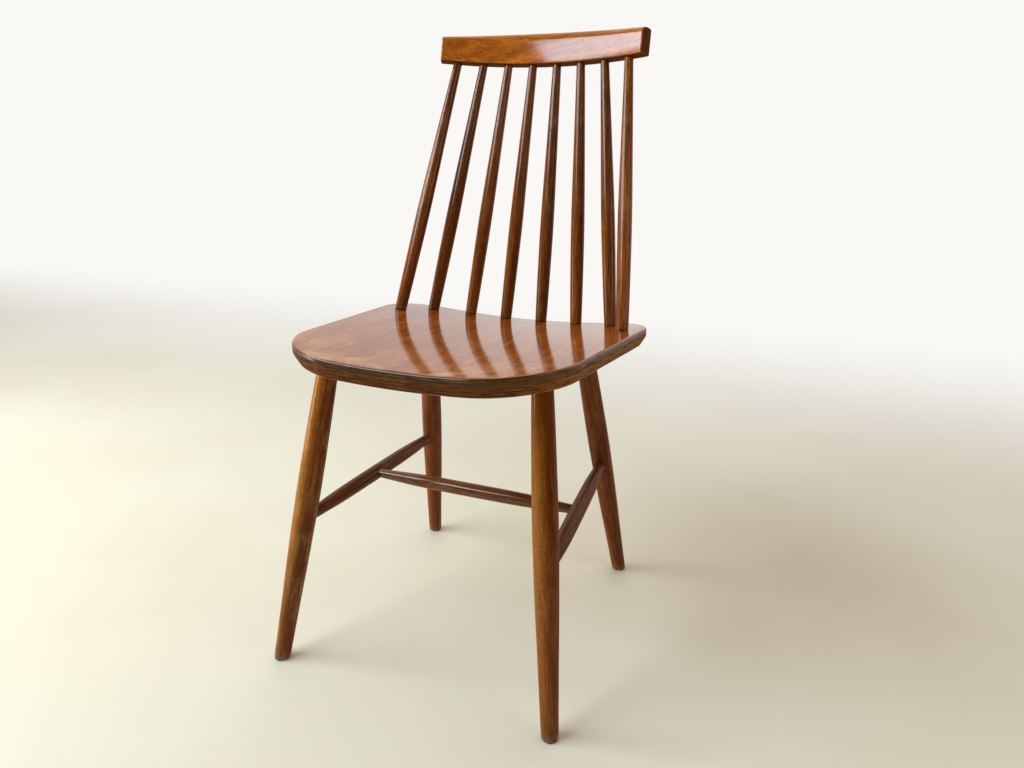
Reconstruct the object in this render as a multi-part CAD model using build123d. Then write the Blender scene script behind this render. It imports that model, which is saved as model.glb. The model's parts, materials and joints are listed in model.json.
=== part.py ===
"""Spindle-back dining chair: a moulded laminated seat, a curved crest rail, eight spindles,
four splayed legs and an H of stretchers, joined by round tenons in blind sockets.

Millimetres. +Z is up, the front of the chair faces -Y, and left is the sitter's left, +X.
The origin is the middle of the chair's bounding box, on the floor.
"""
import copy
import math
import os

from build123d import *

# Seat: plan outline
SEAT_DEPTH = 415.0            # front edge to the middle of the rear edge
SEAT_FRONT_WIDTH = 370.0      # between the sides, where they would meet the front edge
SEAT_REAR_WIDTH = 435.0       # between the sides, where they would meet the rear edge
SEAT_REAR_BOW = 11.0          # how far the rear edge's corners lie ahead of its middle
FRONT_CORNER_RADIUS = 108.0
REAR_CORNER_RADIUS = 78.0

# Seat: section
SEAT_HEIGHT = 437.0           # top of the front edge above the floor
SEAT_FALL = 3.45              # degrees that the seat falls towards the back
SEAT_BEND_RADIUS = 1400.0     # side-to-side hollow of the moulded top
FACE_VENEER = 1.0
CORE_PLY = 2.55
CORE_PLIES = 9
EDGE_BAND = 12.5              # upright part of the edge, above the under-bevel
UNDER_BEVEL = 8.0             # how far the bevel runs in under the seat
TOP_EDGE_ROUND = 4.0

# Legs: their centres, in from the seat's sides and from its front or rear edge
FOOT_INSETS = {"front": (-12.0, 0.0), "rear": (43.5, 5.0)}           # on the floor
LEG_HEAD_INSETS = {"front": (37.5, 88.0), "rear": (91.0, 95.5)}      # on the seat's underside
LEG_FOOT_RADIUS = 10.7
LEG_BELLY_RADIUS = 16.0
LEG_HEAD_RADIUS = 13.3
LEG_SWELL = ((0.19, 0.36), (0.38, 0.76), (0.60, 1.0))   # share of length, share of swell
LEG_NECK = (0.8, 0.66)
FOOT_CHAMFER = 3.0
FOOT_CHAMFER_RISE = 2.0
LEG_TENON_RADIUS = 10.0
LEG_TENON_LENGTH = 17.5

# Stretchers
FRONT_STRETCHER_HEIGHT = 197.0     # where a side stretcher meets its front leg
REAR_STRETCHER_HEIGHT = 206.0
STRETCHER_SWELL = (0.22, 0.82)     # share of the free length, share of the swell
SIDE_STRETCHER_RADIUS = 10.7
SIDE_TENON_RADIUS = 7.6
SIDE_TENON_STOP = 3.0              # short of the leg's centre line
CROSS_STRETCHER_RADIUS = 10.1
CROSS_TENON_RADIUS = 6.2
CROSS_TENON_STOP = 1.0             # short of the side stretcher's centre line
TENON_NECK = 1.0                   # parallel length that shows outside a stretcher's socket

# Back
BACK_HEIGHT = 842.0           # middle of the crest rail's top above the floor
CREST_SET_BACK = 66.8         # middle of the rail's underside behind the seat's rear edge
BACK_LEAN = 12.0              # degrees
CREST_SPAN = 325.0            # chord between the middles of the rail's ends
CREST_BEND_RADIUS = 405.0
CREST_THICKNESS = 21.8
CREST_HEIGHT = 47.6           # at the middle of the rail
CREST_ARCH_RADIUS = 1400.0    # the top edge falls away towards the ends
CREST_FRONT_ROUND = 13.0
CREST_BACK_ROUND = 4.0
CREST_UNDER_ROUND = 2.5
CREST_END_ROUND = 2.0
SPINDLE_HEAD_PITCH = 39.2     # straight across the rail, centre to centre
# Share of the seat's half width at the rear, and distance in from the rear edge
SPINDLE_FEET = ((0.1379, 14.5), (0.4115, 20.0), (0.6828, 37.0), (0.8276, 89.0))
SPINDLE_FOOT_RADIUS = 8.8
SPINDLE_BELLY_RADIUS = 10.3
SPINDLE_HEAD_RADIUS = 6.4
SPINDLE_BELLY_AT = 0.4        # share of the spindle's length
SPINDLE_NECK = (0.7, 0.52)    # share of length, share of the swell above the head's radius
SPINDLE_FOOT_TENON_RADIUS = 6.0
SPINDLE_FOOT_TENON_LENGTH = 15.0
SPINDLE_HEAD_TENON_RADIUS = 4.8
SPINDLE_HEAD_TENON_LENGTH = 20.0

# Fits
GLUE_GAP = 0.05               # round every tenon, and at its end
REACH = 40.0                  # how far a blank runs on past the face that trims it

SEAT_THICKNESS = CORE_PLIES * CORE_PLY + 2 * FACE_VENEER
FRONT_EDGE = -SEAT_DEPTH / 2
REAR_EDGE = SEAT_DEPTH / 2
SIDES = {"right": -1, "left": 1}
ENDS = ("front", "rear")
FALL = math.radians(SEAT_FALL)
LEAN = math.radians(BACK_LEAN)

# The seat's own frame: origin on the top face at the seat's centre
SEAT_PLANE = Plane(
    origin=(0, 0, SEAT_HEIGHT + FRONT_EDGE * math.tan(FALL)),
    x_dir=(1, 0, 0),
    z_dir=(0, math.sin(FALL), math.cos(FALL)),
)

# The crest rail's own frame: origin in the middle of the rail's underside
CREST_PLANE = Plane(
    origin=(0, REAR_EDGE + CREST_SET_BACK, BACK_HEIGHT - CREST_HEIGHT * math.cos(LEAN)),
    x_dir=(1, 0, 0),
    z_dir=(0, math.sin(LEAN), math.cos(LEAN)),
)


# Shared shapes
def peg(start, direction, radius, length):
    """A round bar from start, along direction."""
    frame = Plane(origin=start, z_dir=direction)
    bar = Cylinder(radius, length, align=(Align.CENTER, Align.CENTER, Align.MIN))
    return frame.location * bar


def turning(start, end, necks, swell):
    """A turned bar from start to end, parallel in its necks and a smooth curve between them.

    Every point is (distance from start, radius). The swell's first and last points are ends
    of the necks, or the bar's own ends where it has none.
    """
    frame = Plane(origin=start, z_dir=end - start)
    outline = [(radius, along) for along, radius in necks[:1] + swell + necks[1:]]
    curve = Spline(*[(radius, along) for along, radius in swell])
    for neck, free in zip(necks, (swell[0], swell[-1])):
        curve += Line((neck[1], neck[0]), (free[1], free[0]))
    first, last = outline[0], outline[-1]
    curve += Polyline(last, (0, last[1]), (0, first[1]), first)
    return frame.location * revolve(Plane.XZ * make_face(curve), Axis.Z)


def swollen(shares, length, thin, thick):
    """Turning points from shares of a length and of the swell between two radii."""
    return [(length * at, thin + (thick - thin) * swell) for at, swell in shares]


# Seat
def seat_roller(depth):
    """Everything above the bent surface that lies this deep below the seat's top face."""
    radius = SEAT_BEND_RADIUS + depth
    barrel = Pos(0, 0, SEAT_BEND_RADIUS) * Rot(90, 0, 0) * Cylinder(radius, 3 * SEAT_DEPTH)
    return SEAT_PLANE.location * barrel


def seat_point(x, y, depth=0.0):
    """The point of a bent surface of the seat over the plan point x, y."""
    rise = SEAT_BEND_RADIUS - math.sqrt((SEAT_BEND_RADIUS + depth) ** 2 - x**2)
    height = SEAT_PLANE.origin.Z + (rise - y * math.sin(FALL)) / math.cos(FALL)
    return Vector(x, y, height)


def seat_outline():
    front = SEAT_FRONT_WIDTH / 2
    rear = SEAT_REAR_WIDTH / 2
    shoulder = REAR_EDGE - SEAT_REAR_BOW
    edges = Polyline((-rear, shoulder), (-front, FRONT_EDGE), (front, FRONT_EDGE), (rear, shoulder))
    edges += ThreePointArc((rear, shoulder), (0, REAR_EDGE), (-rear, shoulder))
    face = make_face(edges)
    face = fillet(face.vertices().group_by(Axis.Y)[0], FRONT_CORNER_RADIUS)
    return fillet(face.vertices().group_by(Axis.Y)[-1], REAR_CORNER_RADIUS)


def seat_blank():
    """The glued-up seat before its sockets are bored, with its edge shaped."""
    outline = SEAT_PLANE.location * Pos(0, 0, -SEAT_DEPTH) * seat_outline()
    prism = extrude(outline, 2 * SEAT_DEPTH, dir=SEAT_PLANE.z_dir)
    sheet = seat_roller(SEAT_THICKNESS) - seat_roller(0)
    blank = (prism & sheet).solids().sort_by(Axis.Z)[0]
    under = blank.faces().sort_by(Axis.Z)[0]
    blank = chamfer(under.edges(), UNDER_BEVEL, SEAT_THICKNESS - EDGE_BAND, reference=under)
    top = blank.faces().filter_by(GeomType.CYLINDER).sort_by(SortBy.AREA)[-1]
    return fillet(top.edges(), TOP_EDGE_ROUND)


def seat_layers():
    """Each layer's name, with the depths of its two faces below the seat's top."""
    layers = {"seat_top_veneer": (0.0, FACE_VENEER)}
    for ply in range(CORE_PLIES):
        top = FACE_VENEER + ply * CORE_PLY
        layers[f"seat_core_ply_{ply + 1}"] = (top, top + CORE_PLY)
    layers["seat_bottom_veneer"] = (SEAT_THICKNESS - FACE_VENEER, SEAT_THICKNESS)
    return layers


def seat(sockets):
    """The seat's layers by name, cut from one bored blank."""
    blank = seat_blank()
    for socket in sockets:
        blank -= socket
    plies = {}
    for name, (top, bottom) in seat_layers().items():
        plies[name] = blank & (seat_roller(bottom) - seat_roller(top))
    return plies


# Legs
def in_from(end, inset):
    """The plan point this far in from the seat's side, and from its front or rear edge."""
    from_side, from_edge = inset
    if end == "front":
        return SEAT_FRONT_WIDTH / 2 - from_side, FRONT_EDGE + from_edge
    return SEAT_REAR_WIDTH / 2 - from_side, REAR_EDGE - from_edge


def leg_ends(end, side):
    """The middle of a leg's foot, and the middle of its head on the seat's underside."""
    foot_x, foot_y = in_from(end, FOOT_INSETS[end])
    head_x, head_y = in_from(end, LEG_HEAD_INSETS[end])
    return Vector(side * foot_x, foot_y, 0), seat_point(side * head_x, head_y, SEAT_THICKNESS)


def leg_profile(length):
    """Points of the turned leg, run on past the floor and past the seat's underside."""
    swell = swollen(LEG_SWELL, length, LEG_FOOT_RADIUS, LEG_BELLY_RADIUS)
    neck = swollen([LEG_NECK], length, LEG_HEAD_RADIUS, LEG_BELLY_RADIUS)[0]
    foot_slope = (swell[0][1] - LEG_FOOT_RADIUS) / swell[0][0]
    head_slope = (LEG_HEAD_RADIUS - neck[1]) / (length - neck[0])
    return [
        (-REACH, LEG_FOOT_RADIUS - REACH * foot_slope),
        (0, LEG_FOOT_RADIUS),
        *swell,
        neck,
        (length, LEG_HEAD_RADIUS),
        (length + REACH, LEG_HEAD_RADIUS + REACH * head_slope),
    ]


def leg(end, side, sockets):
    """A leg with a level foot, a head scribed to the seat, and a tenon."""
    foot, head = leg_ends(end, side)
    axis = (head - foot).normalized()
    body = turning(foot, head, [], leg_profile((head - foot).length))
    body -= Pos(0, 0, -REACH) * Box(3 * SEAT_DEPTH, 3 * SEAT_DEPTH, 2 * REACH)
    body -= seat_roller(SEAT_THICKNESS)
    sole = body.faces().sort_by(Axis.Z)[0]
    body = chamfer(sole.edges(), FOOT_CHAMFER, FOOT_CHAMFER_RISE, reference=sole)
    inside = 2 * LEG_TENON_RADIUS
    body += peg(head - axis * inside, axis, LEG_TENON_RADIUS, inside + LEG_TENON_LENGTH)
    for socket in sockets:
        body -= socket
    return body


def leg_socket(end, side):
    foot, head = leg_ends(end, side)
    axis = (head - foot).normalized()
    before = 2 * LEG_TENON_RADIUS
    length = before + LEG_TENON_LENGTH + GLUE_GAP
    return peg(head - axis * before, axis, LEG_TENON_RADIUS + GLUE_GAP, length)


# Stretchers
def on_leg(end, side, height):
    """The point of a leg's centre line at this height."""
    foot, head = leg_ends(end, side)
    return foot + (head - foot) * (height / head.Z)


def side_stretcher_ends(side):
    """Where a side stretcher's centre line meets those of its legs."""
    front = on_leg("front", side, FRONT_STRETCHER_HEIGHT)
    rear = on_leg("rear", side, REAR_STRETCHER_HEIGHT)
    return front, rear


def cross_stretcher_ends():
    """The middles of the two side stretchers."""
    middles = []
    for side in SIDES.values():
        front, rear = side_stretcher_ends(side)
        middles.append((front + rear) / 2)
    return middles


def stretcher(ends, stop, host_radius, tenon_radius, middle_radius):
    """A turned rail between two centre lines, its ends running on into their sockets."""
    start, end = ends
    length = (end - start).length
    neck = host_radius + TENON_NECK
    free = length - 2 * neck
    at, swell = STRETCHER_SWELL
    shares = ((0, 0), (at, swell), (0.5, 1), (1 - at, swell), (1, 0))
    points = [(neck + along, radius) for along, radius in swollen(shares, free, tenon_radius, middle_radius)]
    return turning(start, end, [(stop, tenon_radius), (length - stop, tenon_radius)], points)


def stretcher_socket(centre, towards, stop, host_radius, tenon_radius):
    """The hole in a host whose centre line passes through centre."""
    axis = (towards - centre).normalized()
    start = centre + axis * (stop - GLUE_GAP)
    return peg(start, axis, tenon_radius + GLUE_GAP, 2 * host_radius)


def side_stretcher(side):
    ends = side_stretcher_ends(side)
    rail = stretcher(ends, SIDE_TENON_STOP, LEG_BELLY_RADIUS, SIDE_TENON_RADIUS, SIDE_STRETCHER_RADIUS)
    middles = cross_stretcher_ends()
    here = middles[0] if side < 0 else middles[1]
    there = middles[1] if side < 0 else middles[0]
    return rail - stretcher_socket(
        here, there, CROSS_TENON_STOP, SIDE_STRETCHER_RADIUS, CROSS_TENON_RADIUS
    )


def cross_stretcher():
    return stretcher(
        cross_stretcher_ends(),
        CROSS_TENON_STOP,
        SIDE_STRETCHER_RADIUS,
        CROSS_TENON_RADIUS,
        CROSS_STRETCHER_RADIUS,
    )


# Back
def on_crest(x):
    """The point of the rail's underside at x, midway through its thickness."""
    sagitta = CREST_BEND_RADIUS - math.sqrt(CREST_BEND_RADIUS**2 - x**2)
    return CREST_PLANE.from_local_coords(Vector(x, -sagitta, 0))


def spindle_ends(number, side):
    """A spindle's foot on the seat and its head on the rail; number 0 is next to the middle."""
    share, from_rear = SPINDLE_FEET[number]
    foot_x = share * SEAT_REAR_WIDTH / 2
    head_x = SPINDLE_HEAD_PITCH * (number + 0.5)
    return seat_point(side * foot_x, REAR_EDGE - from_rear), on_crest(side * head_x)


def spindle(number, side):
    foot, head = spindle_ends(number, side)
    axis = (head - foot).normalized()
    length = (head - foot).length
    neck_at, neck_swell = SPINDLE_NECK
    neck = SPINDLE_HEAD_RADIUS + (SPINDLE_BELLY_RADIUS - SPINDLE_HEAD_RADIUS) * neck_swell
    points = [
        (-REACH, SPINDLE_FOOT_RADIUS),
        (0, SPINDLE_FOOT_RADIUS),
        (length * SPINDLE_BELLY_AT, SPINDLE_BELLY_RADIUS),
        (length * neck_at, neck),
        (length, SPINDLE_HEAD_RADIUS),
        (length + REACH / 2, SPINDLE_HEAD_RADIUS),
    ]
    body = turning(foot, head, [], points) & seat_roller(0)
    body -= CREST_PLANE.location * Pos(0, 0, REACH) * Box(2 * CREST_SPAN, CREST_SPAN, 2 * REACH)
    inside = 2 * SPINDLE_FOOT_RADIUS
    body += peg(foot + axis * inside, -axis, SPINDLE_FOOT_TENON_RADIUS, inside + SPINDLE_FOOT_TENON_LENGTH)
    body += peg(head - axis * inside, axis, SPINDLE_HEAD_TENON_RADIUS, inside + SPINDLE_HEAD_TENON_LENGTH)
    return body


def spindle_foot_socket(number, side):
    foot, head = spindle_ends(number, side)
    axis = (head - foot).normalized()
    before = 2 * SPINDLE_FOOT_RADIUS
    length = before + SPINDLE_FOOT_TENON_LENGTH + GLUE_GAP
    return peg(foot + axis * before, -axis, SPINDLE_FOOT_TENON_RADIUS + GLUE_GAP, length)


def spindle_head_socket(number, side):
    foot, head = spindle_ends(number, side)
    axis = (head - foot).normalized()
    before = 2 * SPINDLE_FOOT_RADIUS
    length = before + SPINDLE_HEAD_TENON_LENGTH + GLUE_GAP
    return peg(head - axis * before, axis, SPINDLE_HEAD_TENON_RADIUS + GLUE_GAP, length)


def crest_plan():
    """The rail's bent plan, ends cut square to the bend."""
    half_angle = math.asin(CREST_SPAN / 2 / CREST_BEND_RADIUS)
    front = CREST_BEND_RADIUS - CREST_THICKNESS / 2
    back = CREST_BEND_RADIUS + CREST_THICKNESS / 2

    def corner(radius, angle):
        return (radius * math.sin(angle), radius * math.cos(angle) - CREST_BEND_RADIUS)

    edges = ThreePointArc(corner(front, -half_angle), corner(front, 0), corner(front, half_angle))
    edges += Line(corner(front, half_angle), corner(back, half_angle))
    edges += ThreePointArc(corner(back, half_angle), corner(back, 0), corner(back, -half_angle))
    edges += Line(corner(back, -half_angle), corner(front, -half_angle))
    return make_face(edges)


def is_long(edge):
    return edge.length > CREST_SPAN / 2


def crest_blank():
    """The bent rail before its sockets are bored, arched along its top, its edges rounded."""
    arch = Pos(0, 0, CREST_HEIGHT - CREST_ARCH_RADIUS) * Rot(90, 0, 0)
    rail = extrude(crest_plan(), CREST_HEIGHT) & arch * Cylinder(CREST_ARCH_RADIUS, 2 * CREST_SPAN)
    front, back = rail.edges().filter_by(GeomType.BSPLINE).sort_by(Axis.Y)
    rail = fillet(front, CREST_FRONT_ROUND)
    upper = rail.edges().filter_by(is_long).filter_by(lambda edge: edge.center().Z > CREST_HEIGHT / 2)
    rail = fillet(upper.sort_by(Axis.Y)[-1], CREST_BACK_ROUND)
    under = rail.faces().sort_by(Axis.Z)[0]
    rail = fillet(under.edges().filter_by(is_long), CREST_UNDER_ROUND)
    end_faces = rail.faces().sort_by(Axis.X)[:1] + rail.faces().sort_by(Axis.X)[-1:]
    rail = fillet([edge for face in end_faces for edge in face.edges()], CREST_END_ROUND)
    return CREST_PLANE.location * rail


def crest_rail(sockets):
    rail = crest_blank()
    for socket in sockets:
        rail -= socket
    return rail


# The whole chair
def legs():
    """The four legs by name, bored for the side stretchers."""
    pieces = {}
    for side_name, side in SIDES.items():
        front, rear = side_stretcher_ends(side)
        for end, here, there in (("front", front, rear), ("rear", rear, front)):
            socket = stretcher_socket(here, there, SIDE_TENON_STOP, LEG_BELLY_RADIUS, SIDE_TENON_RADIUS)
            pieces[f"{end}_{side_name}_leg"] = leg(end, side, [socket])
    return pieces


def spindle_places():
    """Spindle numbers in order from the sitter's right to the left, each with its side."""
    outwards = list(range(len(SPINDLE_FEET)))
    return [(number, -1) for number in reversed(outwards)] + [(number, 1) for number in outwards]


def chair():
    """Every piece by name, in the seat-centred frame."""
    places = spindle_places()
    seat_sockets = [leg_socket(end, side) for end in ENDS for side in SIDES.values()]
    seat_sockets += [spindle_foot_socket(*place) for place in places]
    pieces = seat(seat_sockets)
    pieces["crest_rail"] = crest_rail([spindle_head_socket(*place) for place in places])
    for count, place in enumerate(places, start=1):
        pieces[f"back_spindle_{count}"] = spindle(*place)
    pieces.update(legs())
    for name, side in SIDES.items():
        pieces[f"{name}_side_stretcher"] = side_stretcher(side)
    pieces["cross_stretcher"] = cross_stretcher()
    return pieces


def main():
    pieces = chair()
    middle = Compound(children=[copy.copy(piece) for piece in pieces.values()]).bounding_box().center()
    shift = Pos(-middle.X, -middle.Y, 0)
    os.makedirs("parts", exist_ok=True)
    for name, piece in pieces.items():
        export_step(shift * piece, f"parts/{name}.step")


if __name__ == "__main__":
    main()
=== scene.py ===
# %% [markdown]
# # A spindle-back dining chair, from drawing to finish
# This notebook dresses a dining chair that has already been designed as solid pieces. The solids
# are the frame: they say how big the chair is and where each piece goes. Every piece is modelled
# again here by hand, so that its edges, its curves and its wood look as they do on a chair that
# has been used for some decades.

# %% [markdown]
# ## The frame
# The frame is loaded first and never moved. It gives the overall box, the place of each foot and
# the box of each piece.

import json
import math

import bpy
from mathutils import Euler, Matrix, Vector


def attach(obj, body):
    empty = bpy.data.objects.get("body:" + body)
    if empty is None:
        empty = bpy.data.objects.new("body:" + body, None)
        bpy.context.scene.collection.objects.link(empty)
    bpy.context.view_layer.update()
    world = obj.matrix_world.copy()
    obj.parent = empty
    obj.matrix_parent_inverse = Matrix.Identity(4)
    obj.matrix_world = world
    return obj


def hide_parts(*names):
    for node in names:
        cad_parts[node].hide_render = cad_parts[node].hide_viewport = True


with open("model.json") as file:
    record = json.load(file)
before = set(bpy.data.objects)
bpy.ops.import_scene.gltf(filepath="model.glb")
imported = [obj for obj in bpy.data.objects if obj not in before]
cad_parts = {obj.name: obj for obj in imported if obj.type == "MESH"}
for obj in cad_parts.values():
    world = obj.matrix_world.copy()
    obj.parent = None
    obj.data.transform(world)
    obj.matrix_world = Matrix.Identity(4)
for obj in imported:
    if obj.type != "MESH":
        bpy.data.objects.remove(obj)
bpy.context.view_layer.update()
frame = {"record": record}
mounts = {mount["name"]: Vector(mount["pos_m"]) for mount in frame["record"]["mounts"]}

# %% [markdown]
# ## The working drawing
# A chair maker works from a few measures: the seat's outline and hollow, the lean of the back, and
# the points where legs and spindles enter the seat. All of them are in metres. The seat has its
# own tilted plane, and so has the crest rail, so both are made flat and square and then placed.

# %% Measures of the seat
SEAT_DEPTH = 0.415
SEAT_FRONT_WIDTH = 0.370
SEAT_REAR_WIDTH = 0.435
FRONT_CORNER_REACH = 0.0997
REAR_CORNER_REACH = 0.078
SEAT_REAR_BOW = 0.011
BOW_BEHIND = 0.1
SEAT_HEIGHT = 0.437
SEAT_FALL = math.radians(3.45)
SEAT_BEND_RADIUS = 1.4
FACE_VENEER = 0.001
CORE_PLY = 0.00255
CORE_PLIES = 9
SEAT_THICKNESS = 2 * FACE_VENEER + CORE_PLIES * CORE_PLY
EDGE_BAND = 0.0125
UNDER_BEVEL = 0.008
# The rounds on the seat's three edges: depth below the face, width and steps
SEAT_ROUNDS = ((0, 0.0040, 7), (EDGE_BAND, 0.0016, 3), (SEAT_THICKNESS, 0.0012, 3))


def tipped(origin, lean):
    """The matrix of a plane at origin whose far side is tipped down by this angle."""
    return Matrix.Translation(origin) @ Euler((-lean, 0, 0)).to_matrix().to_4x4()


def sagitta(radius, x):
    """How far an arc of this radius has left its tangent, at x from the middle."""
    return radius - math.sqrt(radius**2 - x * x)


seat_y = mounts["front_left_foot"].y + SEAT_DEPTH / 2
seat_z = SEAT_HEIGHT - SEAT_DEPTH / 2 * math.tan(SEAT_FALL)
seat_place = tipped((0, seat_y, seat_z), SEAT_FALL)


def on_seat(x, y, depth=0.0):
    """The point over x, y of the bent surface that lies this deep in the seat."""
    rise = SEAT_BEND_RADIUS - math.sqrt((SEAT_BEND_RADIUS + depth) ** 2 - x * x)
    return Vector((x, y + seat_y, seat_z + (rise - y * math.sin(SEAT_FALL)) / math.cos(SEAT_FALL)))


print("seat centre", on_seat(0, 0))

# %% Measures of the back
BACK_HEIGHT = 0.842
BACK_LEAN = math.radians(12)
CREST_SET_BACK = 0.2743
CREST_SPAN = 0.325
CREST_BEND_RADIUS = 0.405
CREST_THICKNESS = 0.0218
CREST_HEIGHT = 0.0476
CREST_ARCH_RADIUS = 1.4
# From the middle outwards: across from the chair's middle, and behind the middle of the seat
SPINDLE_FEET = ((0.030, 0.193), (0.0895, 0.1875), (0.1485, 0.1705), (0.180, 0.1185))
SPINDLE_HEAD_PITCH = 0.0392

crest_z = BACK_HEIGHT - CREST_HEIGHT * math.cos(BACK_LEAN)
crest_origin = Vector((0, CREST_SET_BACK + seat_y, crest_z))
crest_place = tipped(crest_origin, BACK_LEAN)


def on_crest(x):
    """The point at x in the middle of the crest rail's underside."""
    return crest_place @ Vector((x, -sagitta(CREST_BEND_RADIUS, x), 0))


print("crest rail", on_crest(0))

# %% [markdown]
# ## Working by hand, in code
# In Blender's window a piece is modelled by adding a primitive, choosing some of its faces or
# edges, and applying an operator to them. These helpers do the same in code. Each one leaves
# nothing else selected, because an operator acts on all that is selected.


# %% Start, choose and finish
def start(name):
    """Names the primitive that was just added, and opens it for editing."""
    piece = bpy.context.object
    piece.name = name
    piece.data.name = name
    bpy.ops.object.mode_set(mode="EDIT")
    bpy.ops.mesh.select_all(action="SELECT")
    return piece


def alone(piece):
    """Leaves only this piece selected and active, in object mode."""
    if bpy.context.object and bpy.context.object.mode == "EDIT":
        bpy.ops.object.mode_set(mode="OBJECT")
    bpy.ops.object.select_all(action="DESELECT")
    piece.select_set(True)
    bpy.context.view_layer.objects.active = piece


def choose(piece, kind, wanted):
    """Selects the vertices, edges or faces that wanted accepts, and returns their number."""
    bpy.ops.mesh.select_mode(type=kind)
    bpy.ops.mesh.select_all(action="DESELECT")
    bpy.ops.object.mode_set(mode="OBJECT")
    mesh = piece.data
    parts = {"VERT": mesh.vertices, "EDGE": mesh.edges, "FACE": mesh.polygons}[kind]
    count = 0
    for part in parts:
        if kind == "VERT":
            points = [part.co]
        else:
            points = [mesh.vertices[i].co for i in part.vertices]
        part.select = bool(wanted(part, points))
        count += part.select
    bpy.ops.object.mode_set(mode="EDIT")
    return count


def cut(point, normal, **settings):
    """Cuts the open mesh along a plane. The settings say which side goes, and fill the cut."""
    bpy.ops.mesh.select_all(action="SELECT")
    bpy.ops.mesh.bisect(plane_co=point, plane_no=normal, **settings)


def tidy_faces():
    """Merges doubled points and turns every face outwards."""
    bpy.ops.mesh.select_mode(type="VERT")
    bpy.ops.mesh.select_all(action="SELECT")
    bpy.ops.mesh.remove_doubles(threshold=0.00001)
    bpy.ops.mesh.normals_make_consistent(inside=False)


def place(piece, matrix):
    """Moves a piece that was made at the origin to its place, and bakes the move into its mesh."""
    alone(piece)
    piece.matrix_world = matrix
    bpy.ops.object.transform_apply(location=True, rotation=True, scale=True)


def twin(piece, name):
    """A copy with a mesh of its own."""
    alone(piece)
    bpy.ops.object.duplicate(linked=False)
    copy = bpy.context.object
    copy.name = name
    copy.data.name = name
    return copy


def mirrored(piece, name):
    """The same piece for the other side of the chair."""
    copy = twin(piece, name)
    copy.scale.x = -1
    bpy.ops.object.transform_apply(location=True, rotation=True, scale=True)
    bpy.ops.object.mode_set(mode="EDIT")
    tidy_faces()
    alone(copy)
    return copy


def push(piece, direction, reach, share):
    """Moves each point along an axis by reach times share(point), with a Displace modifier."""
    alone(piece)
    weights = piece.vertex_groups.new(name="push")
    for point in piece.data.vertices:
        weights.add([point.index], share(point.co), "REPLACE")
    lift = piece.modifiers.new("push", "DISPLACE")
    lift.direction = direction
    lift.strength = reach
    lift.mid_level = 0
    lift.vertex_group = weights.name
    bpy.ops.object.modifier_apply(modifier=lift.name)
    piece.vertex_groups.remove(piece.vertex_groups["push"])


def smooth(piece, degrees=35):
    """Shades the piece smooth, apart from edges sharper than this angle."""
    alone(piece)
    bpy.ops.object.shade_smooth_by_angle(angle=math.radians(degrees), keep_sharp_edges=False)


def settle(piece, slot, *nodes):
    """Hands a finished piece to the frame."""
    smooth(piece)
    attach(piece, "root")
    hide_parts(*nodes)
    size = [round(1000 * side, 1) for side in piece.dimensions]
    print(piece.name, "mm", size, "faces", len(piece.data.polygons))


# %% [markdown]
# ## The seat blank
# The seat is a stack of veneers, glued in a curved press and cut to a plan with large round
# corners. It could be drawn as a curve and filled, or built point by point. A flat plate is nearer
# to the real work: its corners are rounded with a vertex bevel, its edge is extruded down, and the
# long bevel under the edge is an inset of the lower face, moved down. Only then is it bent.


# %% Plan of the seat
def seat_plate():
    """A flat plate with the seat's plan, its top face at height 0."""
    depth = SEAT_DEPTH - SEAT_REAR_BOW
    bpy.ops.object.select_all(action="DESELECT")
    bpy.ops.mesh.primitive_plane_add(size=1)
    piece = start("seat_blank")
    bpy.ops.transform.resize(value=(SEAT_REAR_WIDTH, depth, 1))
    bpy.ops.transform.translate(value=(0, -SEAT_REAR_BOW / 2, 0))
    choose(piece, "VERT", lambda part, at: at[0].y < 0)
    bpy.ops.transform.resize(value=(SEAT_FRONT_WIDTH / SEAT_REAR_WIDTH, 1, 1))
    for ahead, reach in ((True, FRONT_CORNER_REACH), (False, REAR_CORNER_REACH)):
        choose(piece, "VERT", lambda part, at: (at[0].y < 0) == ahead)
        bpy.ops.mesh.bevel(offset=reach, segments=20, affect="VERTICES")
    return piece


blank = seat_plate()
print("plate corners", len(blank.data.vertices))


# %% Edge of the seat
def level(at, height, slack=0.00002):
    """Whether all these points lie at one height."""
    return all(abs(point.z - height) < slack for point in at)


bpy.ops.mesh.select_all(action="SELECT")
bpy.ops.mesh.extrude_region_move(TRANSFORM_OT_translate={"value": (0, 0, -EDGE_BAND)})
tidy_faces()
choose(blank, "FACE", lambda part, at: level(at, -EDGE_BAND))
bpy.ops.mesh.inset(thickness=UNDER_BEVEL)
bpy.ops.transform.translate(value=(0, 0, EDGE_BAND - SEAT_THICKNESS))
for depth, width, steps in SEAT_ROUNDS:
    choose(blank, "EDGE", lambda part, at: level(at, -depth))
    bpy.ops.mesh.bevel(offset=width, segments=steps, affect="EDGES")
tidy_faces()
alone(blank)
print("blank", [round(1000 * side, 1) for side in blank.dimensions])

# %% [markdown]
# ## Plies
# The edge of the seat shows its plies as fine lines. A striped texture would do from far away, but
# each ply here is a piece of its own, as in the real laminate: the blank is sliced flat, each
# slice is cut into strips from front to back, and the strips let it bend like wood in a press.

# %% Slice and bend
BEND_STEPS = 34
half_width = blank.dimensions.x / 2
edge_rise = sagitta(SEAT_BEND_RADIUS, half_width)


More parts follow.
